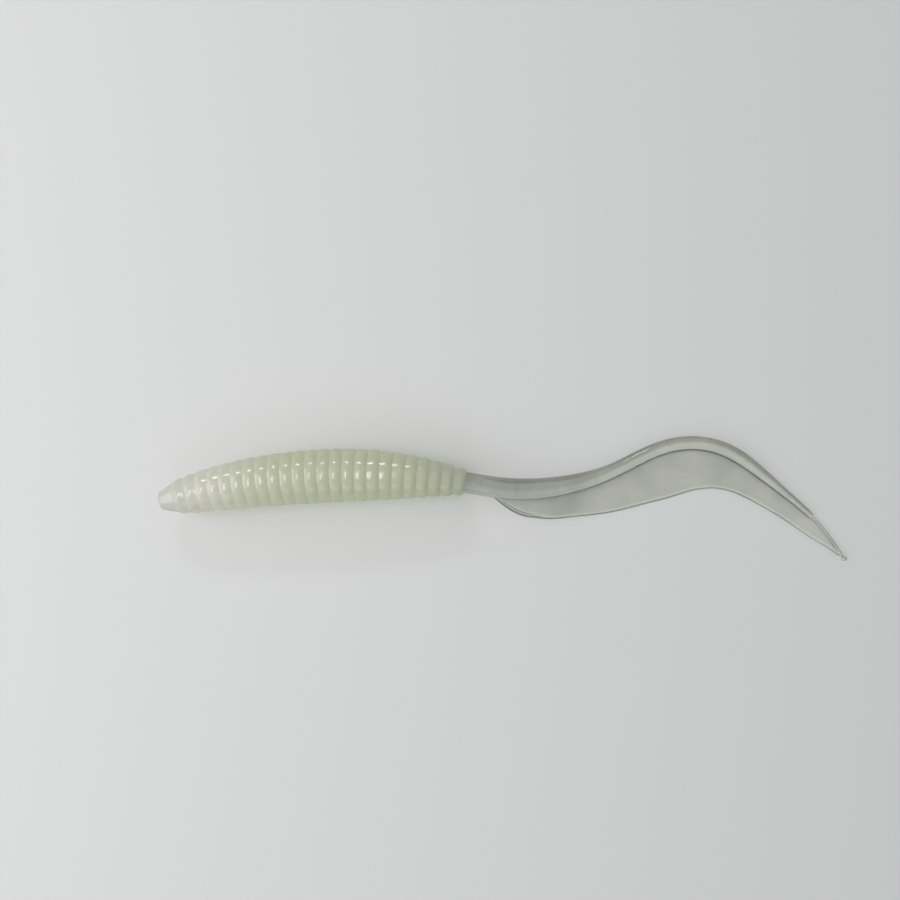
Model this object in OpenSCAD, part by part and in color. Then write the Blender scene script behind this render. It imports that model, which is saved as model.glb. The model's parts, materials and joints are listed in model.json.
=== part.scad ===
// A ringed soft plastic worm for fishing: a spindle body of 24 rings, a round stem and a
// ribbon tail, which is a tapering bead along one edge of a thin web.
// It lies on its belly on a floor at Z = 0, with its nose towards -X and its tail towards +X.
// The origin is on the floor, in the middle of its outline. All sizes are in millimetres.
// The real worm is one moulding. Here it is divided where it flexes, so that it can bend: at
// every third groove of the body, at both ends of the stem, and across the tail. At each of
// these the piece ahead ends in a round knuckle on the bending axis, which seats in the piece
// behind, and both faces lean back to leave room for the bend.

/* [Body] */
// Diameter over the fattest ring
body_d = 9.2; // [7:0.1:12]
// Diameter of the flat face at the nose
nose_face_d = 2.8; // [2:0.1:3.6]
// Length of the smooth nose ahead of the first ring
nose_len = 2.8; // [2:0.1:5]
// Length of one ring along the body
ring_pitch = 2.04; // [1.7:0.02:2.6]
// Depth of the groove between two rings
groove_depth = 0.2; // [0.2:0.05:0.6]
// Diameter of the last ring
last_ring_d = 4.3; // [4:0.1:6]
// How far along the body its fattest place is, as a share of the body's length
fattest_share = 0.55; // [0.4:0.01:0.7]

/* [Stem and tail] */
// Diameter of the stem
stem_d = 3.6; // [2.8:0.1:4.4]
// Length of the stem
stem_len = 5.2; // [4:0.1:8]
// Length of the tail, from the web's heel to the tip
tail_len = 70; // [55:1:85]
// Diameter of the tail's bead in its middle
bead_d = 2.3; // [1.8:0.1:2.8]
// How far short of the tip the tail's bead ends
bead_short = 9.5; // [8.5:0.5:10.5]
// Diameter of the bead where it ends
bead_end_d = 1; // [0.8:0.1:1.6]
// Widest reach of the web, from the middle of the bead to the web's free edge
web_reach = 8.7; // [6:0.1:11]
// Thickness of the web at the bead
web_t = 0.5; // [0.3:0.05:0.8]
// Thickness of the web at its free edge
web_edge_t = 0.3; // [0.2:0.05:0.4]
// Diameter of the drop at the tail's tip
tip_d = 0.9; // [0.7:0.05:1.4]

/* [Flexing] */
// Bend that each flexing groove of the body takes, each way, in degrees
ring_flex = 18; // [8:1:20]
// Bend at each end of the stem, each way, in degrees
stem_flex = 30; // [10:1:34]
// Bend at each flexing line across the tail, each way, in degrees
tail_flex = 18; // [8:1:24]
// Clearance between two pieces at a flexing line
flex_gap = 0.06; // [0.04:0.01:0.1]
// Clearance round a knuckle in its seat
seat_gap = 0.08; // [0.06:0.01:0.12]

/* [How it lies] */
// Heading of the nose's axis, in degrees from +X
nose_heading = 12.5; // [0:0.5:25]
// How far the body's heading turns from its first stretch to its last, in degrees
body_turn = 19; // [0:1:40]
// Length over which the tail comes down from the body's axis to the floor
drop_len = 24; // [18:1:40]
// Steepest slope of the web towards the floor, in degrees
web_slope = 20; // [10:1:30]

/* [Hidden] */
RINGS = 24;
RINGS_A_STRETCH = 3;
STRETCHES = RINGS / RINGS_A_STRETCH;
TAIL_STRETCHES = 10;
BEAD_STRETCHES = 9;
// The tail's heading at each end of its ten stretches, in degrees from +X
TAIL_HEADINGS = [-9, 5, 11, 24, 25, 0, -22, -43, -35, -52, -56];
// The web's reach at the same places, as a share of web_reach. It starts on the bead
WEB_SHARES = [0.22, 0.62, 0.73, 0.84, 1, 0.98, 0.84, 0.6, 0.45, 0.33, 0.05];
// Shares of the tail's length: where the bead starts and stops thinning from the stem's
// size, and where its end taper starts
THIN_FROM = 0.06;
THIN_TO = 0.36;
TAPER_FROM = 0.6;
// The knuckles, as shares of the radius of the piece that they are in
KNUCKLE_SHARE = 0.36;
KNUCKLE_LEN_SHARE = 1.5;
// Angle that a relieved face has to spare, in degrees
FLEX_SPARE = 0.75;
// Sections in one stretch of the tail, corners of the bead's section, and of a ring's ridge
SECTIONS = 8;
BEAD_SIDES = 20;
RIDGE_STEPS = 8;
BODY_FN = 96;
KNUCKLE_FN = 48;

body_len = nose_len + RINGS * ring_pitch;
body_r = body_d / 2;
tip_r = tip_d / 2;
bead_len = tail_len - bead_short;
tail_step = tail_len / (TAIL_STRETCHES * SECTIONS);

MILKY = [0.75, 0.78, 0.64];
CLEAR = [0.68, 0.74, 0.66];
FILM = [0.8, 0.83, 0.79];

function two(n) = str(n < 10 ? "0" : "", n);

// ---- Small helpers ----
function mix(a, b, f) = a + (b - a) * f;
function clamp01(x) = min(1, max(0, x));
function ease(x) = let (c = clamp01(x)) c * c * (3 - 2 * c);
function unit(v) = v / norm(v);
function direction(heading) = [cos(heading), sin(heading), 0];
// A smooth curve through evenly spaced values, at place x counted in values
function smooth_between(values, x) =
    let (
        last = len(values) - 1,
        i = min(last - 1, max(0, floor(x))),
        f = x - i,
        a = values[max(0, i - 1)],
        b = values[i],
        c = values[i + 1],
        d = values[min(last, i + 2)]
    )
    b + 0.5 * f * (c - a + f * (2 * a - 5 * b + 4 * c - d + f * (3 * (b - c) + d - a)));

// ---- The body's shape and lie ----
// Radius over the rings at a distance from the nose face
function crest_r(x) =
    let (fattest = fattest_share * body_len)
    x < fattest
        ? mix(nose_face_d / 2, body_r, sqrt(1 - pow(1 - clamp01(x / fattest), 2)))
        : mix(body_r, last_ring_d / 2, pow((x - fattest) / (body_len - fattest), 2));
function groove_r(x) = crest_r(x) - groove_depth * clamp01(x / nose_len);
function ring_start(k) = nose_len + (k - 1) * ring_pitch;

// A stretch is one rigid run of rings. The first also has the nose
function stretch_start(i) = i == 0 ? 0 : nose_len + i * RINGS_A_STRETCH * ring_pitch;
function stretch_heading(i) = nose_heading - body_turn * i / (STRETCHES - 1);
stretch_at = [
    for (
        i = 0, p = [0, 0, body_r];
        i <= STRETCHES;
        p = p + (stretch_start(i + 1) - stretch_start(i)) * direction(stretch_heading(i)),
        i = i + 1
    ) p
];
stem_heading = TAIL_HEADINGS[0];
tail_root = stretch_at[STRETCHES] + stem_len * direction(stem_heading);

// ---- The tail's shape and lie ----
function tail_heading(t) = smooth_between(TAIL_HEADINGS, t / tail_len * TAIL_STRETCHES);
function bead_r(t) =
    let (
        thinning = ease((t / tail_len - THIN_FROM) / (THIN_TO - THIN_FROM)),
        taper_from = TAPER_FROM * tail_len,
        tapering = ease((t - taper_from) / (bead_len - taper_from))
    )
    (t < taper_from ? mix(stem_d, bead_d, thinning) : mix(bead_d, bead_end_d, tapering)) / 2;
function web_out(t) =
    let (
        x = t / tail_len * TAIL_STRETCHES,
        share = x < 1 ? mix(WEB_SHARES[0], WEB_SHARES[1], sin(90 * x)) : smooth_between(WEB_SHARES, x)
    )
    web_reach * share;
// Height of the bead's axis: it comes down from the body's axis until the bead is on the floor
function tail_z(t) =
    let (
        past_bead = mix(bead_end_d / 2, tip_r, (t - bead_len) / bead_short),
        on_floor = t < bead_len ? bead_r(t) : past_bead
    )
    mix(body_r, on_floor, ease((t + stem_len) / (drop_len + stem_len)));
tail_plan = [
    for (
        i = 0, p = tail_root;
        i <= TAIL_STRETCHES * SECTIONS + 1;
        p = p + tail_step * direction(tail_heading((i + 0.5) * tail_step)),
        i = i + 1
    ) p
];
function tail_point(t) =
    let (
        i = min(len(tail_plan) - 2, max(0, floor(t / tail_step))),
        p = mix(tail_plan[i], tail_plan[i + 1], t / tail_step - i)
    )
    [p.x, p.y, tail_z(t)];
// The tail's own directions: along it, out along the web, and up from the web
function tail_along(t) = unit(tail_point(t + tail_step / 2) - tail_point(t - tail_step / 2));
function web_angle(t) = min(web_slope, asin(clamp01((tail_z(t) - web_edge_t) / web_out(t))));
function tail_side(t) =
    let (level = unit(cross(tail_along(t), [0, 0, 1])), up = cross(level, tail_along(t)))
    level * cos(web_angle(t)) - up * sin(web_angle(t));
function tail_up(t) = cross(tail_side(t), tail_along(t));

// ---- The origin: the middle of the outline, on the floor ----
far_x = tail_point(tail_len).x + tip_r;
near_x = -nose_face_d / 2 * sin(nose_heading);
high_y = max([for (i = [0:TAIL_STRETCHES * SECTIONS]) tail_plan[i].y + bead_r(i * tail_step)]);
low_y = tail_point(tail_len).y - tip_r;
middle = [(near_x + far_x) / 2, (low_y + high_y) / 2, 0];

module place() translate(-middle) children();
module on_stretch(i) place() translate(stretch_at[i]) rotate([0, 0, stretch_heading(i)]) children();

// ---- Solids ----
// A closed skin through sections that have the same number of corners
module loft(sections) {
    n = len(sections[0]);
    last = len(sections) - 1;
    sides = [
        for (i = [0:last - 1], k = [0:n - 1])
            let (a = i * n + k, b = i * n + (k + 1) % n)
            each [[a, b, b + n], [a, b + n, a + n]]
    ];
    ends = [
        for (k = [1:n - 2])
            each [[0, k + 1, k], [last * n, last * n + k, last * n + k + 1]]
    ];
    polyhedron(points = [for (s = sections) each s], faces = concat(sides, ends));
}

// A turned solid whose outline is a list of [distance along +X, radius] pairs
module turned(outline) {
    first = outline[0][0];
    last = outline[len(outline) - 1][0];
    rotate([0, 90, 0])
        rotate_extrude($fn = BODY_FN)
            polygon(concat([[0, first]], [for (p = outline) [p[1], p[0]]], [[0, last]]));
}

// ---- Flexing lines. Each is drawn with +X along the worm and the bending axis along Z ----
// Kinds of flexing line: the worm bends sideways about "yaw" lines and up about "nod" lines
function ring_kind(i) = i % 2 == 1 ? "yaw" : "nod";
module body_line(i) {
    heading = i == STRETCHES
        ? (stretch_heading(i - 1) + stem_heading) / 2
        : (stretch_heading(i - 1) + stretch_heading(i)) / 2;
    place()
        translate(stretch_at[i])
            rotate([0, 0, heading])
                rotate([ring_kind(i) == "nod" ? 90 : 0, 0, 0])
                    children();
}
module tail_line(j) {
    t = j * tail_len / TAIL_STRETCHES;
    x = tail_along(t);
    z = j == 0 ? tail_up(t) : tail_side(t);
    y = cross(z, x);
    p = tail_point(t);
    place()
        multmatrix([[x.x, y.x, z.x, p.x], [x.y, y.y, z.y, p.y], [x.z, y.z, z.z, p.z]])
            children();
}
// What has to go from the piece ahead. The piece behind loses its mirror image
module relief(flex, reach) {
    lean = (reach + flex_gap) * tan(flex / 2 + FLEX_SPARE);
    linear_extrude(height = 4 * reach, center = true)
        polygon([
            [-flex_gap / 2, 0],
            [-flex_gap / 2 - lean, reach + flex_gap],
            [reach / 2, reach + flex_gap],
            [reach / 2, -reach - flex_gap],
            [-flex_gap / 2 - lean, -reach - flex_gap]
        ]);
}
module knuckle(r, gap = 0) {
    cylinder(
        r = KNUCKLE_SHARE * r + gap,
        h = KNUCKLE_LEN_SHARE * r + 2 * gap,
        center = true,
        $fn = KNUCKLE_FN
    );
}

// ---- Nose, rings and stem ----
module nose() {
    steps = 10;
    color(MILKY)
        on_stretch(0)
            turned([for (i = [0:steps]) let (x = nose_len * pow(i / steps, 2)) [x, groove_r(x)]]);
}

module plain_ring(k) {
    i = floor((k - 1) / RINGS_A_STRETCH);
    start = ring_start(k);
    middle_r = crest_r(start + ring_pitch / 2);
    on_stretch(i)
        translate([-stretch_start(i), 0, 0])
            turned([
                for (s = [0:RIDGE_STEPS])
                    let (
                        u = s / RIDGE_STEPS,
                        x = start + u * ring_pitch,
                        ridge = 1 - pow(2 * u - 1, 2)
                    )
                    [x, mix(groove_r(x), middle_r, ridge)]
            ]);
}

function line_r(i) = groove_r(stretch_start(i));
module ring(k) {
    i = floor((k - 1) / RINGS_A_STRETCH);
    heads = k % RINGS_A_STRETCH == 1 && i > 0;
    ends = k % RINGS_A_STRETCH == 0;
    wide = body_r + groove_depth;
    color(MILKY) {
        difference() {
            plain_ring(k);
            if (ends) body_line(i + 1) relief(i + 1 == STRETCHES ? stem_flex : ring_flex, wide);
            if (heads) body_line(i) mirror([1, 0, 0]) relief(ring_flex, wide);
            if (heads) body_line(i) knuckle(line_r(i), seat_gap);
        }
        if (ends && k < RINGS) body_line(i + 1) knuckle(line_r(i + 1));
        if (k == RINGS) body_line(i + 1) knuckle(stem_d / 2);
    }
}

module stem() {
    color(MILKY) {
        difference() {
            place()
                translate(stretch_at[STRETCHES])
                    multmatrix(stem_lean())
                        turned([[0, stem_d / 2], [norm(stem_run()), stem_d / 2]]);
            body_line(STRETCHES) mirror([1, 0, 0]) relief(stem_flex, stem_d);
            body_line(STRETCHES) knuckle(stem_d / 2, seat_gap);
            tail_line(0) relief(stem_flex, stem_d);
        }
        tail_line(0) knuckle(stem_d / 2);
    }
}
// The stem runs straight from the last ring's axis to the tail's root
function stem_run() = tail_point(0) - stretch_at[STRETCHES];
function stem_lean() =
    let (x = unit(stem_run()), y = unit(cross([0, 0, 1], x)), z = cross(x, y))
    [[x.x, y.x, z.x, 0], [x.y, y.y, z.y, 0], [x.z, y.z, z.z, 0]];

// ---- Tail ----
function bead_section(t) = [
    for (k = [0:BEAD_SIDES - 1])
        let (a = 360 * k / BEAD_SIDES)
        tail_point(t) + bead_r(t) * (cos(a) * tail_side(t) + sin(a) * tail_up(t))
];
function web_section(t) =
    let (
        p = tail_point(t),
        w = tail_side(t),
        n = tail_up(t),
        out = web_out(t),
        edge = min(web_edge_t, out) / 2
    )
    [
        p - n * web_t / 2,
        p + w * (out - edge) - n * edge,
        p + w * out,
        p + w * (out - edge) + n * edge,
        p + n * web_t / 2
    ];
function stretch_places(j, end) =
    let (from = (j - 1) * tail_len / TAIL_STRETCHES, to = min(end, j * tail_len / TAIL_STRETCHES))
    [for (s = [0:SECTIONS]) mix(from, to, s / SECTIONS)];

module plain_bead(j) place() loft([for (t = stretch_places(j, bead_len)) bead_section(t)]);

// Cuts both ends of a stretch of the tail back to their relieved faces
module relieved_ends(j) {
    difference() {
        children();
        tail_line(j - 1)
            mirror([1, 0, 0])
                relief(j == 1 ? stem_flex : tail_flex, j == 1 ? web_reach : stem_d);
        if (j < TAIL_STRETCHES) tail_line(j) relief(tail_flex, stem_d);
        if (j <= BEAD_STRETCHES) tail_line(j - 1) knuckle(line_bead_r(j - 1), seat_gap);
    }
}
function line_bead_r(j) = bead_r(j * tail_len / TAIL_STRETCHES);

module tail_bead(j) {
    color(CLEAR) {
        relieved_ends(j) plain_bead(j);
        if (j < BEAD_STRETCHES) tail_line(j) knuckle(line_bead_r(j));
    }
}

module tail_web(j) {
    color(FILM)
        relieved_ends(j)
            difference() {
                place() loft([for (t = stretch_places(j, tail_len)) web_section(t)]);
                if (j <= BEAD_STRETCHES) plain_bead(j);
                if (j == TAIL_STRETCHES) tip_ball();
            }
}

module tip_ball() place() translate(tail_point(tail_len)) sphere(r = tip_r, $fn = KNUCKLE_FN);
module tail_tip() color(CLEAR) tip_ball();

nose();
for (k = [1:RINGS]) ring(k);
stem();
for (j = [1:BEAD_STRETCHES]) tail_bead(j);
for (j = [1:TAIL_STRETCHES]) tail_web(j);
tail_tip();
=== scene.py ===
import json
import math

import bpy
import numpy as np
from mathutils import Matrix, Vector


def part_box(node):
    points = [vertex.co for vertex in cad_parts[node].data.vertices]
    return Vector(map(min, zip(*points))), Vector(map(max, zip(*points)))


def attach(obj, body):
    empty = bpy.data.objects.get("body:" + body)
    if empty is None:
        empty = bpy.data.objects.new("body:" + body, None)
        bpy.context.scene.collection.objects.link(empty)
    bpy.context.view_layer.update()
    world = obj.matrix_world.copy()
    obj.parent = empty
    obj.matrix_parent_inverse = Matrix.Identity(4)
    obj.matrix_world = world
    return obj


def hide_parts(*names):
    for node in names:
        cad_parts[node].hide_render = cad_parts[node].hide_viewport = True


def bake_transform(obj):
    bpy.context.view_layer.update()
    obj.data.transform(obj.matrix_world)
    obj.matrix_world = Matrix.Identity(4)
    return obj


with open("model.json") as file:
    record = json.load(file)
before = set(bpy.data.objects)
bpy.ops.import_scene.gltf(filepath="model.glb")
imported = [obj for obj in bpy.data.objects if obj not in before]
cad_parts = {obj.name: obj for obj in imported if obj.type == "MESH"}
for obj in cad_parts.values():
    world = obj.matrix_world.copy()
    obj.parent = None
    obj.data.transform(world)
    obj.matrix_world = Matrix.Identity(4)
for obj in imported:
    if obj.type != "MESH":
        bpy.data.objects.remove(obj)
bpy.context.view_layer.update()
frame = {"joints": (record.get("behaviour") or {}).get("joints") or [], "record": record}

# A ringed soft plastic worm for fishing, lying on its belly on a pale floor. The body is a
# spindle of rings, then come a smooth stem and a ribbon tail: a tapering bead along one edge
# of a thin web, with a drop of plastic at its tip. The real worm is one moulding. Here its
# skin is made in lengths that follow the hinges of the frame, and they meet without a gap.
# Lengths are in metres.

MM = 0.001
UP = np.array([0.0, 0.0, 1.0])

# ---- Sizes of the worm that the frame doesn't give ----
RINGS = 24
RINGS_A_STRETCH = 3
NOSE_FACE_R = 1.4 * MM
# How far the nose's face is dished in, and how quickly the nose swells behind it
NOSE_DISH = 0.05 * MM
NOSE_BULGE = 0.8
GROOVE_DEPTH = 0.2 * MM
LAST_RING_R = 2.15 * MM
FATTEST_SHARE = 0.55
RING_VARIATION = 0.02 * MM
STEM_R = 1.8 * MM
BEAD_R = 1.15 * MM
BEAD_END_R = 0.5 * MM
# The bead ends in a blunt step, so far short of the tip
BEAD_SHORT = 9.5 * MM
BEAD_STEP = 0.6 * MM
# Where the bead thins from the stem, and tapers to its end, as shares of the tail's length
BEAD_THIN_FROM = 0.06
BEAD_THIN_TO = 0.36
BEAD_TAPER_FROM = 0.6
WEB_REACH = 8.7 * MM
# The web's reach at the ends of the tail's ten stretches, as a share of WEB_REACH
WEB_SHARES = [0.22, 0.62, 0.73, 0.84, 1, 0.98, 0.84, 0.6, 0.45, 0.33, 0.05]
WEB_HALF = 0.25 * MM
WEB_EDGE_HALF = 0.13 * MM
# The rounded rim along the web's free edge, which is fatter at the heel
RIM_R = 0.2 * MM
HEEL_RIM_R = 0.34 * MM
RIM_BLEND = 0.6 * MM
FILLET = 0.45 * MM
TIP_R = 0.45 * MM
# The web starts to close so far short of the tip, and is closed this much further on
TIP_CLOSING = 1.2 * MM
TIP_CLOSING_RUN = 0.9 * MM

# ---- How finely the skin is made ----
RING_STEPS = 12
SIDES = 128
TAIL_ROW = 0.35 * MM
SEAM_ROW = 0.06 * MM
# Trial points across half a section of the tail, from which its sides are picked
TRIAL_POINTS = 500
# How much length a turn of one radian counts for when they are picked
TURN_LENGTH = 0.6 * MM


# ==== The worm's middle line ====
def natural_spline(knots, values):
    """The smooth curve that passes values at knots, as a function."""
    gaps = np.diff(knots)
    slopes = np.diff(values, axis=0) / gaps[:, None]
    matrix = np.eye(len(knots))
    change = np.zeros_like(values)
    for i in range(1, len(knots) - 1):
        matrix[i, i - 1 : i + 2] = gaps[i - 1], 2 * (gaps[i - 1] + gaps[i]), gaps[i]
        change[i] = 6 * (slopes[i] - slopes[i - 1])
    bend = np.linalg.solve(matrix, change)

    def at(x):
        i = np.clip(np.searchsorted(knots, x, side="right") - 1, 0, len(gaps) - 1)
        f = ((x - knots[i]) / gaps[i])[:, None]
        pull = (((1 - f) ** 3 - (1 - f)) * bend[i] + (f**3 - f) * bend[i + 1]) / 6
        return (1 - f) * values[i] + f * values[i + 1] + pull * gaps[i][:, None] ** 2

    return at


def unit(v):
    return v / np.linalg.norm(v, axis=-1, keepdims=True)


class MiddleLine:
    """The line through the nose, every hinge and the tip, measured in metres along itself."""

    def __init__(self, record, joints):
        nose = next(m for m in record["mounts"] if m["name"] == "nose_face")
        tip_low, tip_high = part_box("tail_tip")
        points = [nose["pos_m"], *[j["pos_m"] for j in joints], (tip_low + tip_high) / 2]
        points = np.array([list(p) for p in points])
        chords = np.linalg.norm(np.diff(points, axis=0), axis=1)
        knots = np.concatenate([[0], np.cumsum(chords)])
        self.place = natural_spline(knots, points)

        fine = np.linspace(0, knots[-1], 6001)
        steps = np.linalg.norm(np.diff(self.place(fine), axis=0), axis=1)
        self.lengths = np.concatenate([[0], np.cumsum(steps)])
        self.fine = fine
        # How far along the line each hinge is, with the nose before them and the tip after
        self.stations = np.interp(knots, fine, self.lengths)
        self.length = self.stations[-1]

        # A hinge's axis lies across the worm, or it stands up where the worm swings sideways
        along = self.along(self.stations)
        sides = [np.cross(along[0], UP)]
        for joint, forward in zip(joints, along[1:]):
            axis = np.array(joint["axis"])
            sides.append(np.cross(forward, axis) if axis @ UP > 0.7 else axis)
        sides.append(sides[-1])
        self.lean = natural_spline(self.stations, unit(np.array(sides)))

    def point(self, s):
        inside = np.clip(s, 0, self.length)
        past = (s - inside)[:, None]
        return self.place(np.interp(inside, self.lengths, self.fine)) + past * self.along(s)

    def along(self, s):
        inside = np.clip(s, 0, self.length)
        reach = 0.1 * MM
        ahead = np.interp(inside + reach, self.lengths, self.fine)
        behind = np.interp(inside - reach, self.lengths, self.fine)
        return unit(self.place(ahead) - self.place(behind))

    def side_and_up(self, s):
        """The directions out along the web and up from it, square to the line."""
        along = self.along(s)
        side = self.lean(np.clip(s, 0, self.length))
        side = unit(side - np.sum(side * along, axis=1, keepdims=True) * along)
        return side, np.cross(side, along)


line = MiddleLine(frame["record"], frame["joints"])
HINGES = {j["name"]: (j, line.stations[i + 1]) for i, j in enumerate(frame["joints"])}
BODY_HINGES = [n for n in HINGES if n.startswith("body_")]
TAIL_HINGES = [n for n in HINGES if n.startswith("tail_")]
body_r = line.point(np.zeros(1))[0][2]
body_end = HINGES["stem_lift"][1]
tail_start = HINGES["stem_swing"][1]
tail_len = line.length - tail_start
ring_pitch = (body_end - line.stations[1]) / (RINGS - RINGS_A_STRETCH)
nose_len = line.stations[1] - RINGS_A_STRETCH * ring_pitch
bead_len = tail_len - BEAD_SHORT


# ==== Node trees ====
class Tree:
    """Puts nodes in a tree and joins them, so that a formula reads as one."""

    def __init__(self, tree):
        self.tree = tree

    def join(self, value, socket):
        if isinstance(value, bpy.types.NodeSocket):
            self.tree.links.new(value, socket)
        else:
            socket.default_value = value

    def add(self, kind, inputs=None, **settings):
        node = self.tree.nodes.new(kind)
        for name, value in settings.items():
            setattr(node, name, value)
        for socket, value in (inputs or {}).items():
            self.join(value, node.inputs[socket])
        return node

    def math(self, operation, *values):
        node = self.tree.nodes.new("ShaderNodeMath")
        node.operation = operation
        for value, socket in zip(values, node.inputs):
            self.join(value, socket)
        return node.outputs[0]

    def vector(self, operation, *values, output="Vector", **named):
        node = self.tree.nodes.new("ShaderNodeVectorMath")
        node.operation = operation
        for value, socket in zip(values, node.inputs):
            self.join(value, socket)
        for name, value in named.items():
            self.join(value, node.inputs[name])
        return node.outputs[output]

    def sockets(self, direction, sockets):
        for name, kind in sockets.items():
            self.tree.interface.new_socket(name, in_out=direction, socket_type=kind)


def set_inputs(modifier, values):
    """Sets a modifier's inputs, given by the names that its tree shows."""
    for item in modifier.node_group.interface.items_tree:
        if item.item_type == "SOCKET" and item.name in values:
            modifier[item.identifier] = values[item.name]


# ==== Materials ====
# The colours that the "tint" of a point picks from. In the milky plastic, tint is the share of
# the body's length: whitish at the nose, greenest in the middle, and darker towards the stem, as smokier
# plastic deepened by painted shadow.
MILKY_TINTS = {
    0.0: (0.69, 0.695, 0.655),
    0.16: (0.76, 0.76, 0.69),
    0.3: (0.7, 0.715, 0.6),
    0.55: (0.68, 0.7, 0.56),
    0.8: (0.67, 0.69, 0.55),
    1.0: (0.6, 0.62, 0.51),
}
# In the clear plastic it is how smoky the plastic is, with painted shade, shadow and highlights
CLEAR_TINTS = {
    0.0: (0.78, 0.785, 0.74),
    0.35: (0.67, 0.675, 0.64),
    0.65: (0.42, 0.45, 0.4),
    1.0: (0.17, 0.195, 0.17),
}


def plastic_group():
    """What moulded soft plastic shows all over: cloudy patches, faint flow marks and fine grain."""
    tree = bpy.data.node_groups.new("moulded_plastic", "ShaderNodeTree")
    t = Tree(tree)
    t.sockets("INPUT", {
        "Cloud Size": "NodeSocketFloat",
        "Cloudiness": "NodeSocketFloat",
        "Roughness": "NodeSocketFloat",
        "Roughness Change": "NodeSocketFloat",
    })
    t.sockets("OUTPUT", {
        "Cloud": "NodeSocketFloat",
        "Roughness": "NodeSocketFloat",
        "Height": "NodeSocketFloat",
    })
    given = t.add("NodeGroupInput").outputs
    spot = t.add("ShaderNodeTexCoord").outputs["Object"]
    scale = t.math("DIVIDE", 1, given["Cloud Size"])
    cloud = t.add("ShaderNodeTexNoise", {"Vector": spot, "Scale": scale, "Detail": 4, "Roughness": 0.6})
    cloud = t.math("SUBTRACT", cloud.outputs["Fac"], 0.5)
    grain = t.add("ShaderNodeTexNoise", {"Vector": spot, "Scale": 2500, "Detail": 3})
    flow = t.add("ShaderNodeTexNoise", {"Vector": spot, "Scale": 420, "Detail": 2, "Distortion": 0.6})
    marks = t.math("SUBTRACT", flow.outputs["Fac"], 0.5)
    rough = t.math("MULTIPLY_ADD", marks, given["Roughness Change"], given["Roughness"])
    height = t.math("MULTIPLY_ADD", grain.outputs["Fac"], 0.25, flow.outputs["Fac"])
    out = t.add("NodeGroupOutput")
    t.join(t.math("MULTIPLY_ADD", cloud, given["Cloudiness"], 0.5), out.inputs["Cloud"])
    t.join(rough, out.inputs["Roughness"])
    t.join(height, out.inputs["Height"])
    return tree


PLASTIC = plastic_group()


def colour_from(t, tints, amount):
    ramp = t.add("ShaderNodeValToRGB", {"Fac": amount})
    stops = ramp.color_ramp.elements
    while len(stops) < len(tints):
        stops.new(1)
    for stop, (place, colour) in zip(stops, tints.items()):
        stop.position = place
        stop.color = (*colour, 1)
    return ramp.outputs["Color"]


def plastic_look(t, cloud_size, cloudiness, roughness, roughness_change, bump):
    """The moulded plastic's tint, from 0 to 1, its roughness and its normal."""
    look = t.add("ShaderNodeGroup", node_tree=PLASTIC)
    look.inputs["Cloud Size"].default_value = cloud_size
    look.inputs["Cloudiness"].default_value = cloudiness
    look.inputs["Roughness"].default_value = roughness
    look.inputs["Roughness Change"].default_value = roughness_change
    tint = t.add("ShaderNodeAttribute", attribute_name="tint").outputs["Fac"]
    amount = t.math("ADD", tint, t.math("SUBTRACT", look.outputs["Cloud"], 0.5))
    amount = t.math("MAXIMUM", t.math("MINIMUM", amount, 1), 0)
    relief = t.add("ShaderNodeBump", {"Height": look.outputs["Height"], "Strength": 1, "Distance": bump})
    return amount, look.outputs["Roughness"], relief.outputs["Normal"]


def let_lamps_through(t, skin, tint):
    """Light from lamps passes the skin, tinted, and everything else sees the skin."""
    clear = t.add("ShaderNodeBsdfTransparent", {"Color": (*tint, 1)})
    lamps = t.add("ShaderNodeLightPath").outputs["Is Shadow Ray"]
    both = t.add("ShaderNodeMixShader", {0: lamps, 1: skin, 2: clear.outputs[0]})
    out = t.add("ShaderNodeOutputMaterial")
    t.join(both.outputs[0], out.inputs["Surface"])


def new_material(name):
    material = bpy.data.materials.new(name)
    material.use_nodes = True
    material.node_tree.nodes.clear()
    return material, Tree(material.node_tree)


def milky_plastisol():
    """Cloudy soft plastic: light sinks in, spreads and comes out all over, under a wet gloss."""
    material, t = new_material("milky_plastisol")
    amount, roughness, normal = plastic_look(
        t, cloud_size=4 * MM, cloudiness=0.35, roughness=0.17, roughness_change=0.06, bump=0.003 * MM
    )
    colour = colour_from(t, MILKY_TINTS, amount)
    skin = t.add("ShaderNodeBsdfPrincipled", {
        "Base Color": colour,
        "Roughness": roughness,
        "Transmission Weight": 0.15,
        "Specular IOR Level": 1.0,
        "IOR": 1.5,
        "Normal": normal,
    })
    glow = t.add("ShaderNodeBsdfTranslucent", {"Color": colour})
    both = t.add("ShaderNodeMixShader", {0: 0.5, 1: skin.outputs[0], 2: glow.outputs[0]})
    let_lamps_through(t, both.outputs[0], (0.5, 0.52, 0.45))
    return material


def clear_plastisol():
    """The same plastic where it is thin: almost clear, a little smoky, with a wet gloss; its colour carries
    painted shade, shadow and highlights.
    """
    material, t = new_material("clear_plastisol")
    amount, roughness, normal = plastic_look(
        t, cloud_size=7 * MM, cloudiness=0.45, roughness=0.07, roughness_change=0.05, bump=0.002 * MM
    )
    skin = t.add("ShaderNodeBsdfPrincipled", {
        "Base Color": colour_from(t, CLEAR_TINTS, amount),
        "Roughness": roughness,
        "Transmission Weight": 0.92,
        "IOR": 1.5,
        "Normal": normal,
    })
    let_lamps_through(t, skin.outputs[0], (0.86, 0.87, 0.84))
    return material


def seam_material():
    """Closes a length of skin where the next one goes on, and isn't seen."""
    material, t = new_material("seam")
    clear = t.add("ShaderNodeBsdfTransparent")
    out = t.add("ShaderNodeOutputMaterial")
    t.join(clear.outputs[0], out.inputs["Surface"])
    return material


MILKY = milky_plastisol()
CLEAR = clear_plastisol()
SEAM = seam_material()


# ==== Rings, by Geometry Nodes ====
SPINDLE_SIZES = ["Body Length", "Fattest Share", "Nose Radius", "Fattest Radius", "Last Radius"]


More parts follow.
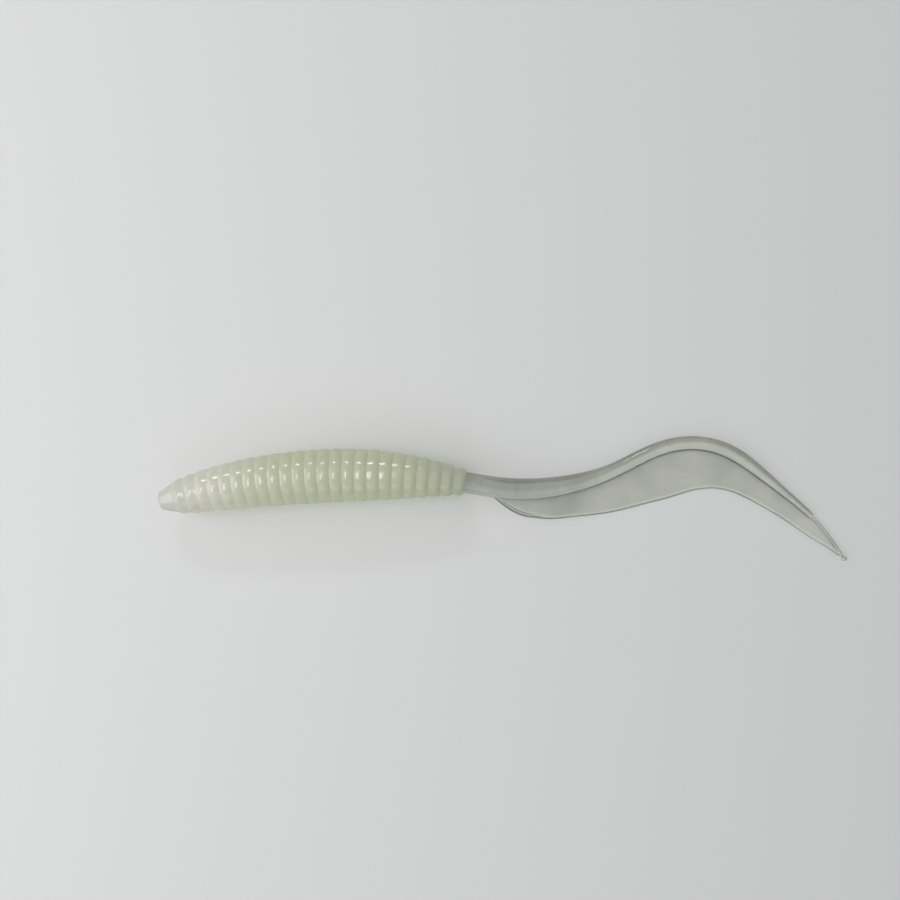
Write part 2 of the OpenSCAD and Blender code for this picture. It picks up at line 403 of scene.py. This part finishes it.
def spindle_tree():
    """Radius over the rings: an ellipse's quarter up to the fattest place, then a parabola."""
    tree = bpy.data.node_groups.new("spindle", "GeometryNodeTree")
    t = Tree(tree)
    t.sockets("INPUT", {name: "NodeSocketFloat" for name in ["Distance", *SPINDLE_SIZES]})
    t.sockets("OUTPUT", {"Radius": "NodeSocketFloat"})
    given = t.add("NodeGroupInput").outputs
    fattest = t.math("MULTIPLY", given["Body Length"], given["Fattest Share"])
    ahead = t.math("SUBTRACT", 1, t.math("MINIMUM", t.math("DIVIDE", given["Distance"], fattest), 1))
    rise = t.math("SQRT", t.math("SUBTRACT", 1, t.math("MULTIPLY", ahead, ahead)))
    swell = t.math("SUBTRACT", given["Fattest Radius"], given["Nose Radius"])
    front = t.math("MULTIPLY_ADD", rise, swell, given["Nose Radius"])
    behind = t.math("MAXIMUM", t.math("SUBTRACT", given["Distance"], fattest), 0)
    behind = t.math("DIVIDE", behind, t.math("SUBTRACT", given["Body Length"], fattest))
    loss = t.math("SUBTRACT", given["Last Radius"], given["Fattest Radius"])
    end = t.add("NodeGroupOutput")
    t.join(t.math("MULTIPLY_ADD", t.math("MULTIPLY", behind, behind), loss, front), end.inputs["Radius"])
    return tree


SPINDLE = spindle_tree()


def ringed_body_tree():
    """A run of rings round a line: First Ring and Rings say which, the rest is their shape."""
    tree = bpy.data.node_groups.new("ringed_body", "GeometryNodeTree")
    t = Tree(tree)
    t.sockets("INPUT", {
        "Middle Line": "NodeSocketGeometry",
        "First Ring": "NodeSocketInt",
        "Rings": "NodeSocketInt",
        "Steps a Ring": "NodeSocketInt",
        "Sides": "NodeSocketInt",
        "Nose Length": "NodeSocketFloat",
        "Ring Pitch": "NodeSocketFloat",
        "Groove Depth": "NodeSocketFloat",
        "Body Length": "NodeSocketFloat",
        "Fattest Share": "NodeSocketFloat",
        "Nose Radius": "NodeSocketFloat",
        "Fattest Radius": "NodeSocketFloat",
        "Last Radius": "NodeSocketFloat",
        "Ring Variation": "NodeSocketFloat",
        "Seed": "NodeSocketInt",
        "Skin": "NodeSocketMaterial",
        "Seam": "NodeSocketMaterial",
    })
    t.sockets("OUTPUT", {"Worm": "NodeSocketGeometry"})
    given = t.add("NodeGroupInput").outputs
    steps = given["Steps a Ring"]

    # A flat grid with a row for each step, and one more at each end for the seam's middle
    last = t.math("MULTIPLY", given["Rings"], steps)
    grid = t.add("GeometryNodeMeshGrid", {
        "Size X": 1,
        "Size Y": 1,
        "Vertices X": t.math("ADD", last, 3),
        "Vertices Y": t.math("ADD", given["Sides"], 1),
    })
    place = t.add("ShaderNodeSeparateXYZ", {0: t.add("GeometryNodeInputPosition").outputs[0]})
    share = t.math("ADD", place.outputs["X"], 0.5)
    row = t.math("ROUND", t.math("MULTIPLY_ADD", share, t.math("ADD", last, 2), -1))
    step = t.math("MINIMUM", t.math("MAXIMUM", row, 0), last)
    ring = t.math("FLOOR", t.math("DIVIDE", t.math("ADD", step, 0.5), steps))
    turn = t.math("MULTIPLY", t.math("SUBTRACT", t.math("DIVIDE", step, steps), ring), math.pi)
    ridge = t.math("POWER", t.math("SINE", turn), 2)
    across = t.math("MULTIPLY_ADD", t.math("COSINE", turn), -0.5, 0.5)
    before = t.math("ADD", t.math("SUBTRACT", given["First Ring"], 1), ring)
    far = t.math("MULTIPLY_ADD", t.math("ADD", before, across), given["Ring Pitch"], given["Nose Length"])

    def spindle(distance):
        sizes = {name: given[name] for name in SPINDLE_SIZES}
        return t.add("GeometryNodeGroup", {"Distance": distance, **sizes}, node_tree=SPINDLE).outputs[0]

    # A ring is round about its own middle, whatever the taper, and no two are quite as high
    middle = t.math("MULTIPLY_ADD", t.math("ADD", before, 0.5), given["Ring Pitch"], given["Nose Length"])
    luck = t.add("FunctionNodeRandomValue", {"ID": before, "Seed": given["Seed"]}, data_type="FLOAT")
    luck = next(s for s in luck.outputs if s.type == "VALUE")
    luck = t.math("MULTIPLY", luck, given["Ring Variation"])
    top = t.math("SUBTRACT", spindle(middle), luck)
    bottom = t.math("SUBTRACT", spindle(far), given["Groove Depth"])
    radius = t.math("MULTIPLY_ADD", t.math("SUBTRACT", top, bottom), ridge, bottom)
    off_run = t.math("ABSOLUTE", t.math("SUBTRACT", row, step))
    radius = t.math("MULTIPLY", radius, t.math("SUBTRACT", 1, off_run))

    curve = t.add("GeometryNodeMeshToCurve", {"Mesh": given["Middle Line"]}).outputs[0]
    sample = t.add("GeometryNodeSampleCurve", {"Curves": curve, "Length": far}, mode="LENGTH")
    sideways = t.vector("NORMALIZE", t.vector("CROSS_PRODUCT", sample.outputs["Tangent"], tuple(UP)))
    angle = t.math("MULTIPLY", place.outputs["Y"], 2 * math.pi)
    out = t.vector("SCALE", sideways, Scale=t.math("MULTIPLY", radius, t.math("COSINE", angle)))
    lift = t.vector("SCALE", tuple(UP), Scale=t.math("MULTIPLY", radius, t.math("SINE", angle)))
    spot = t.vector("ADD", t.vector("ADD", sample.outputs["Position"], out), lift)
    parts = t.add("ShaderNodeSeparateXYZ", {0: spot}).outputs
    spot = t.add("ShaderNodeCombineXYZ", {
        "X": parts["X"],
        "Y": parts["Y"],
        "Z": t.math("MAXIMUM", parts["Z"], 0),
    }).outputs[0]

    def keep(mesh, name, value):
        store = t.add("GeometryNodeStoreNamedAttribute", {"Geometry": mesh, "Name": name}, data_type="FLOAT")
        t.join(value, store.inputs["Value"])
        return store.outputs[0]

    mesh = keep(grid.outputs["Mesh"], "row", row)
    # The tint's darker end at the rear is partly painted shadow
    mesh = keep(mesh, "tint", t.math("DIVIDE", far, given["Body Length"]))
    mesh = t.add("GeometryNodeSetPosition", {"Geometry": mesh, "Position": spot}).outputs[0]
    mesh = t.add("GeometryNodeMergeByDistance", {"Geometry": mesh, "Distance": 1e-6}).outputs[0]

    # The grooves are sharp, and so are the seams' rims
    kept_row = t.add("GeometryNodeInputNamedAttribute", {"Name": "row"}, data_type="FLOAT").outputs[0]
    in_ring = t.math("FLOORED_MODULO", t.math("ROUND", kept_row), steps)
    groove = t.math("LESS_THAN", in_ring, 0.5)
    mesh = t.add("GeometryNodeSetShadeSmooth", {
        "Geometry": mesh,
        "Selection": groove,
        "Shade Smooth": False,
    }, domain="EDGE").outputs[0]
    past = t.math("SUBTRACT", kept_row, t.math("DIVIDE", last, 2))
    past = t.math("SUBTRACT", t.math("ABSOLUTE", past), t.math("DIVIDE", last, 2))
    at_seam = t.math("GREATER_THAN", past, 0.25)
    mesh = t.add("GeometryNodeRealizeInstances", {"Geometry": mesh}).outputs[0]
    mesh = t.add("GeometryNodeSetMaterial", {"Geometry": mesh, "Material": given["Skin"]}).outputs[0]
    mesh = t.add("GeometryNodeSetMaterial", {
        "Geometry": mesh,
        "Selection": at_seam,
        "Material": given["Seam"],
    }).outputs[0]
    end = t.add("NodeGroupOutput")
    t.join(mesh, end.inputs["Worm"])
    return tree


RINGED_BODY = ringed_body_tree()


def line_mesh():
    """The middle line as a mesh of short edges, for the ring tree."""
    s = np.arange(0, body_end + 1 * MM, 0.2 * MM)
    points = line.point(s)
    mesh = bpy.data.meshes.new("middle_line")
    mesh.from_pydata(points.tolist(), [(i, i + 1) for i in range(len(s) - 1)], [])
    return mesh


MIDDLE_LINE = line_mesh()


def show(name, mesh):
    piece = bpy.data.objects.new(name, mesh)
    bpy.context.scene.collection.objects.link(piece)
    return piece


def ring_run(name, first, count):
    """Rings first to first + count - 1, as one plain mesh."""
    maker = show(name + "_maker", MIDDLE_LINE)
    modifier = maker.modifiers.new("rings", "NODES")
    modifier.node_group = RINGED_BODY
    set_inputs(modifier, {
        "First Ring": first,
        "Rings": count,
        "Steps a Ring": RING_STEPS,
        "Sides": SIDES,
        "Nose Length": float(nose_len),
        "Ring Pitch": float(ring_pitch),
        "Groove Depth": GROOVE_DEPTH,
        "Body Length": float(body_end),
        "Fattest Share": FATTEST_SHARE,
        "Nose Radius": NOSE_FACE_R,
        "Fattest Radius": float(body_r),
        "Last Radius": LAST_RING_R,
        "Ring Variation": RING_VARIATION,
        "Seed": 7,
        "Skin": MILKY,
        "Seam": SEAM,
    })
    graph = bpy.context.evaluated_depsgraph_get()
    mesh = bpy.data.meshes.new_from_object(maker.evaluated_get(graph))
    mesh.name = name
    mesh.attributes.remove(mesh.attributes["row"])
    bpy.data.objects.remove(maker)
    return show(name, mesh)


# ==== Skins made row by row: the nose, the stem and the tail ====
def loft(name, rows, tints, material, first="seam", last="seam"):
    """A closed skin through rows of points. Each end is a seam or a pole, which is one point."""
    count, sides = rows.shape[:2]
    points = rows.reshape(-1, 3)
    tint = tints.reshape(-1)
    skin = []
    for i in range(count - 1):
        for k in range(sides):
            n = (k + 1) % sides
            skin.append((i * sides + k, (i + 1) * sides + k, (i + 1) * sides + n, i * sides + n))
    final = (count - 1) * sides
    ends = []
    for end, start in ((first, 0), (last, final)):
        rim = list(range(start, start + sides))
        if start:
            rim.reverse()
        if isinstance(end, str):
            ends.append(rim)
        else:
            middle = len(points)
            points = np.vstack([points, end])
            tint = np.append(tint, tint[start])
            skin += [(rim[k], rim[(k + 1) % sides], middle) for k in range(sides)]
    mesh = bpy.data.meshes.new(name)
    mesh.from_pydata(points.tolist(), [], skin + ends)
    mesh.materials.append(material)
    mesh.materials.append(SEAM)
    for face in range(len(skin), len(skin) + len(ends)):
        mesh.polygons[face].material_index = 1
    mesh.shade_smooth()
    pairs = np.empty(2 * len(mesh.edges), np.int32)
    mesh.edges.foreach_get("vertices", pairs)
    pairs = pairs.reshape(-1, 2)
    sharp = np.zeros(len(pairs), bool)
    for end, start in ((first, 0), (last, final)):
        if isinstance(end, str):
            sharp |= ((pairs >= start) & (pairs < start + sides)).all(axis=1)
    mesh.attributes.new("sharp_edge", "BOOLEAN", "EDGE").data.foreach_set("value", sharp)
    mesh.attributes.new("tint", "FLOAT", "POINT").data.foreach_set("value", tint.astype(np.float32))
    mesh.validate()
    return show(name, mesh)


def sections(s, outlines):
    """Outlines, each a list of [out, up] points, put square on the line at s."""
    side, up = line.side_and_up(s)
    out = outlines[:, :, 0, None] * side[:, None] + outlines[:, :, 1, None] * up[:, None]
    rows = line.point(s)[:, None] + out
    rows[:, :, 2] = np.maximum(rows[:, :, 2], 0)
    return rows


def circle(radii):
    angles = np.linspace(0, 2 * math.pi, SIDES, endpoint=False)
    ring = np.stack([np.cos(angles), np.sin(angles)], axis=-1)
    return radii[:, None, None] * ring


def crest(s):
    """The body's radius over its ridges."""
    fattest = FATTEST_SHARE * body_end
    ahead = 1 - np.minimum(s / fattest, 1)
    behind = np.maximum(s - fattest, 0) / (body_end - fattest)
    rise = np.sqrt(1 - ahead**2)
    return NOSE_FACE_R + (body_r - NOSE_FACE_R) * rise + (LAST_RING_R - body_r) * behind**2


def nose():
    """A blunt face with a rounded edge, and the smooth nose behind it."""
    q = np.linspace(0, 1, 25)
    s = nose_len * q**2
    end_r = crest(np.array([nose_len]))[0] - GROOVE_DEPTH
    radii = NOSE_FACE_R + (end_r - NOSE_FACE_R) * (s / nose_len) ** NOSE_BULGE
    face = NOSE_FACE_R * np.array([0.3, 0.6, 0.8, 0.92])
    dish = NOSE_DISH * np.array([1, 0.8, 0.4, -0.2])
    s = np.concatenate([dish, s])
    radii = np.concatenate([face, radii])
    rows = sections(s, circle(radii))
    tints = np.repeat(s[:, None] / body_end, SIDES, axis=1)
    middle = line.point(np.array([NOSE_DISH]))[0]
    return loft("nose_skin", rows, tints, MILKY, first=middle)


# ==== Stem and tail ====
def ease(x):
    x = np.clip(x, 0, 1)
    return x * x * (3 - 2 * x)


def between(values, x):
    """A smooth curve through evenly spaced values, at places counted in values."""
    values = np.array(values)
    last = len(values) - 1
    i = np.clip(np.floor(x).astype(int), 0, last - 1)
    f = x - i
    a, b, c, d = values[np.maximum(i - 1, 0)], values[i], values[i + 1], values[np.minimum(i + 2, last)]
    return b + 0.5 * f * (c - a + f * (2 * a - 5 * b + 4 * c - d + f * (3 * (b - c) + d - a)))


def bead_radius(t):
    """Radius of the bead t metres along the tail, which ends in a blunt step, and of the drop."""
    thin = ease((t / tail_len - BEAD_THIN_FROM) / (BEAD_THIN_TO - BEAD_THIN_FROM))
    taper_from = BEAD_TAPER_FROM * tail_len
    taper = ease((t - taper_from) / (bead_len - taper_from))
    radius = STEM_R + (BEAD_R - STEM_R) * thin + (BEAD_END_R - BEAD_R) * taper
    step = np.clip((t - bead_len + BEAD_STEP / 2) / BEAD_STEP, 0, 1)
    radius = RIM_R + (radius - RIM_R) * np.sqrt(1 - step**2)
    drop = np.sqrt(np.maximum(TIP_R**2 - (t - tail_len) ** 2, 0))
    return np.maximum(radius * (t < tail_len), drop)


def web_reach(t):
    """How far the web's free edge is from the middle of the bead."""
    x = t / tail_len * (len(WEB_SHARES) - 1)
    heel = WEB_SHARES[0] + (WEB_SHARES[1] - WEB_SHARES[0]) * np.sin(np.clip(x, 0, 1) * math.pi / 2)
    reach = WEB_REACH * np.where(x < 1, heel, between(WEB_SHARES, np.clip(x, 0, 10)))
    reach = reach * (1 - ease((t - tail_len + TIP_CLOSING) / TIP_CLOSING_RUN))
    before = ease((t + 1 * MM) / (1 * MM))
    return np.maximum(reach * before, bead_radius(t))


def smoke_and_painted_light(w, t, bead, reach, rim):
    """How dark the plastic is painted at w out from the bead's middle, t metres along the tail: its smoke,
    with painted shade, shadow and highlights.
    """
    # Near the stem the bead is darker and its back band fainter, and this fades out along the first part of
    # the tail
    stem_share = 1 - ease((t - 6 * MM) / (16 * MM))
    # The bead's core is smoky plastic, deepened by painted shadow
    core = 0.28 + 0.15 * stem_share
    # Painted shade: the bead's back is darker, most of all along its outer edge
    band = 0.45 - 0.2 * stem_share
    back = band * ease((0.1 * bead - w) / (0.5 * bead)) + 0.25 * ease((-0.7 * bead - w) / (0.2 * bead))
    # The web is a pale smoky film, darkened away from the tip by painted shadow, with a dark line of painted
    # shade at its root, a dark lip of painted shade and a pale painted highlight line beside that
    out = np.maximum(w - bead, 0)
    web = ease((w - 0.9 * bead) / (0.15 * MM)) * (reach > bead + rim)
    film = 0.36 - 0.18 * ease((t / tail_len - 0.75) / 0.2)
    root = 0.5 * np.exp(-((out / (0.2 * MM)) ** 2)) + 0.2 * np.exp(-out / (0.9 * MM))
    lip = ease((w - (reach - 1.2 * rim)) / (0.6 * rim))
    glow = np.exp(-(((w - (reach - 2.2 * rim)) / (0.8 * rim)) ** 2))
    amount = core + back + web * (film - core + root + 0.55 * lip - 0.35 * glow)
    return np.clip(amount, 0, 1)


def keyhole(t):
    """The tail at t: the outline's points, and each point's tint, which is smoke in the plastic with painted
    shade and highlights. The outline goes round the bead, a fillet, the thin web and its rounded rim."""
    bead = bead_radius(np.array([t]))[0]
    reach = web_reach(np.array([t]))[0]
    rim = RIM_R + (HEEL_RIM_R - RIM_R) * ease(t / (2 * MM)) * (1 - ease((t - 5 * MM) / (6 * MM)))
    rim = min(rim, reach / 2)
    w = -bead + (reach + bead) * (1 - np.cos(np.linspace(0, math.pi, TRIAL_POINTS))) / 2
    round_part = np.sqrt(np.maximum(bead**2 - w**2, 0)) - 3 * np.maximum(w - bead, 0)
    web = WEB_HALF + (WEB_EDGE_HALF - WEB_HALF) * np.clip(w / reach, 0, 1)
    swell = ease((w - (reach - rim - RIM_BLEND)) / RIM_BLEND)
    web = web + (rim - web) * swell
    closing = np.sqrt(np.maximum(rim**2 - np.maximum(w - (reach - rim), 0) ** 2, 0))
    web = np.minimum(web, closing)
    web = np.where(w < 0, -1, web)
    fillet = min(FILLET, 0.5 * bead) * np.clip((reach - w) / (0.6 * MM), 0, 1) + 1e-9
    meet = np.maximum(fillet - np.abs(round_part - web), 0) / fillet
    half = np.maximum(round_part, web) + meet**2 * fillet / 4
    half[0] = half[-1] = 0

    # Points are closer together where the outline turns
    run = np.hypot(np.diff(w), np.diff(half))
    heading = np.unwrap(np.arctan2(np.diff(half), np.diff(w)))
    turn = np.abs(np.diff(heading, prepend=heading[0]))
    cost = np.concatenate([[0], np.cumsum(run + TURN_LENGTH * turn)])
    places = np.linspace(0, cost[-1], SIDES // 2 + 1)
    w_top = np.interp(places, cost, w)
    half_top = np.interp(places, cost, half)
    tint = smoke_and_painted_light(w_top, t, bead, reach, rim)
    # From the rim over the top to the bead's back, and home along the underside
    top = np.stack([w_top, half_top], axis=1)[::-1]
    under = np.stack([w_top, -half_top], axis=1)[1:-1]
    return np.concatenate([top, under]), np.concatenate([tint[::-1], tint[1:-1]])


def tail_places(first, last):
    """Places along the line for rows from first to last, close together at both seams."""
    inner = np.linspace(first, last, max(2, round((last - first) / TAIL_ROW)) + 1)
    return np.concatenate([[first, first + SEAM_ROW], inner[1:-1], [last - SEAM_ROW, last]])


def tail_skin(name, first, last, material, tip=False):
    s = tail_places(first, last)
    if tip:
        # The drop: rows closer together towards its end
        start = line.length - TIP_CLOSING
        q = np.linspace(0, 1, 22)[1:-1]
        drop = start + (line.length + TIP_R - start) * np.sin(q * math.pi / 2)
        s = np.concatenate([s[s < start - 0.1 * MM], [start], drop])
    outlines, tints = zip(*[keyhole(t) for t in s - tail_start])
    rows = sections(s, np.array(outlines))
    end = line.point(np.array([line.length + TIP_R]))[0] if tip else "seam"
    return loft(name, rows, np.array(tints), material, last=end)


# ==== The worm, length by length ====
def blend_over(piece, hinge, before, after):
    """Bakes the piece's placement into its mesh; the piece isn't bent over the hinge. Before and after are
    not used.
    """
    joint, station = HINGES[hinge]
    forward = line.along(np.array([station]))[0]
    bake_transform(piece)


def seam_distance(hinge, station):
    """How near the section at a station comes to the plane across a hinge."""
    joint, at = HINGES[hinge]
    forward = line.along(np.array([at]))[0]
    s = np.array([station])
    if station < body_end:
        outline = circle(crest(s))
    else:
        outline = keyhole(station - tail_start)[0][None]
    reach = (sections(s, outline)[0] - np.array(joint["pos_m"])) @ forward
    return float(np.abs(reach).min())


def finish_piece(piece, slot, *nodes):
    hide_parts(*nodes)


def ring_start(k):
    return nose_len + (k - 1) * ring_pitch


def make_body():
    piece = nose()
    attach(piece, "head")
    finish_piece(piece, "body_plastisol", "nose")
    piece = ring_run("ring_01_skin", 1, 1)
    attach(piece, "head")
    finish_piece(piece, "body_plastisol", "ring_01")
    for i, hinge in enumerate(BODY_HINGES, 1):
        first = i * RINGS_A_STRETCH - 1
        piece = ring_run(f"rings_{first:02d}_to_{first + 2:02d}", first, RINGS_A_STRETCH)
        before = seam_distance(hinge, ring_start(first))
        after = seam_distance(hinge, ring_start(first + RINGS_A_STRETCH))
        blend_over(piece, hinge, min(before, ring_pitch), after)
        rings = [f"ring_{k:02d}" for k in range(first, first + RINGS_A_STRETCH)]
        finish_piece(piece, "body_plastisol", *rings)


def make_stem_and_tail():
    stem_middle = (body_end + tail_start) / 2
    after = seam_distance("stem_lift", stem_middle)
    piece = ring_run("rings_23_to_24", 23, 2)
    blend_over(piece, "stem_lift", ring_pitch, after)
    finish_piece(piece, "body_plastisol", "ring_23", "ring_24")
    piece = tail_skin("stem_front", body_end, stem_middle, CLEAR)
    blend_over(piece, "stem_lift", ring_pitch, after)
    finish_piece(piece, "body_plastisol", "stem")

    hinges = ["stem_swing", *TAIL_HINGES]
    places = [HINGES[h][1] for h in hinges] + [line.length]
    seams = [stem_middle] + [(a + b) / 2 for a, b in zip(places, places[1:])]
    for i, hinge in enumerate(hinges):
        name = "stem_and_heel" if i == 0 else f"tail_length_{i}"
        piece = tail_skin(name, seams[i], seams[i + 1], CLEAR)
        blend_over(piece, hinge, seam_distance(hinge, seams[i]), seam_distance(hinge, seams[i + 1]))
        nodes = ["stem"] if i == 0 else [f"tail_web_{i:02d}", f"tail_bead_{i:02d}"]
        finish_piece(piece, "bead_plastisol", *nodes)
    piece = tail_skin("tail_end", seams[-1], line.length, CLEAR, tip=True)
    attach(piece, "tail_10")
    finish_piece(piece, "web_film", "tail_web_10", "tail_tip")


make_body()
make_stem_and_tail()


# ==== Floor, light and camera ====
def paper():
    """Plain pale paper with a faint tooth."""
    material = bpy.data.materials.new("pale_paper")
    material.use_nodes = True
    t = Tree(material.node_tree)
    skin = material.node_tree.nodes["Principled BSDF"]
    spot = t.add("ShaderNodeTexCoord").outputs["Object"]
    tooth = t.add("ShaderNodeTexNoise", {"Vector": spot, "Scale": 900, "Detail": 6, "Roughness": 0.7})
    relief = t.add("ShaderNodeBump", {
        "Height": tooth.outputs["Fac"],
        "Strength": 0.35,
        "Distance": 0.03 * MM,
    })
    t.join(relief.outputs["Normal"], skin.inputs["Normal"])
    skin.inputs["Base Color"].default_value = (0.6, 0.6, 0.6, 1)
    skin.inputs["Roughness"].default_value = 0.75
    return material


def make_floor():
    """A wide sheet, just under the worm so that their surfaces don't coincide."""
    half = 1.5
    z = -0.03 * MM
    corners = [(-half, -half, z), (half, -half, z), (half, half, z), (-half, half, z)]
    mesh = bpy.data.meshes.new("floor")
    mesh.from_pydata(corners, [], [(0, 1, 2, 3)])
    mesh.materials.append(paper())
    show("floor", mesh)


def area_light(name, direction, distance, size, power, colour):
    """A rectangular light that shines at the worm's middle from a direction."""
    data = bpy.data.lights.new(name, "AREA")
    data.shape = "RECTANGLE"
    data.size, data.size_y = size
    data.energy = power
    data.color = colour
    light = bpy.data.objects.new(name, data)
    bpy.context.scene.collection.objects.link(light)
    towards = Vector(direction).normalized()
    light.location = towards * distance
    light.rotation_euler = towards.to_track_quat("Z", "Y").to_euler()


def make_light():
    """A room that is brightest overhead, with two windows, a roof light, a lamp and a pale backdrop."""
    world = bpy.data.worlds.new("soft_room")
    bpy.context.scene.world = world
    world.use_nodes = True
    t = Tree(world.node_tree)
    way = t.add("ShaderNodeSeparateXYZ", {0: t.add("ShaderNodeTexCoord").outputs["Generated"]})
    height = t.math("MINIMUM", t.math("MAXIMUM", t.math("MULTIPLY", way.outputs["Z"], 1.6), 0), 1)
    sky = world.node_tree.nodes["Background"]
    sky.inputs["Color"].default_value = (0.97, 0.985, 1.0, 1)
    room = t.math("MULTIPLY_ADD", height, 0.31, 0.19)
    backdrop = t.math("MULTIPLY", t.add("ShaderNodeLightPath").outputs["Is Camera Ray"], 0.62)
    t.join(t.math("MAXIMUM", room, backdrop), sky.inputs["Strength"])
    area_light("window", (-1, 0, 0.6), 0.42, (0.42, 0.26), 0.88, (1, 0.99, 0.98))
    area_light("near_window", (-0.4, -1, 0.75), 0.6, (0.4, 0.22), 0.4, (1, 1, 1))
    area_light("roof_light", (-0.42, 0.05, 1), 0.6, (0.3, 0.09), 0.9, (1, 1, 1))
    area_light("lamp", (-0.3, 1, 0.6), 0.8, (0.2, 0.06), 1.0, (1, 1, 1))


def make_camera():
    """It looks straight down, from a point beside the rear end of the body."""
    data = bpy.data.cameras.new("camera")
    data.sensor_width = 36
    data.lens = 35.6
    camera = bpy.data.objects.new("camera", data)
    bpy.context.scene.collection.objects.link(camera)
    nose_face = line.point(np.zeros(1))[0]
    behind_nose = 48.81 * MM
    beside_nose = 8.62 * MM
    height = 155 * MM
    camera.location = (nose_face[0] + behind_nose, nose_face[1] + beside_nose, height)
    bpy.context.scene.camera = camera


make_floor()
make_light()
make_camera()
bpy.context.scene.view_settings.view_transform = "Standard"

bpy.context.view_layer.update()
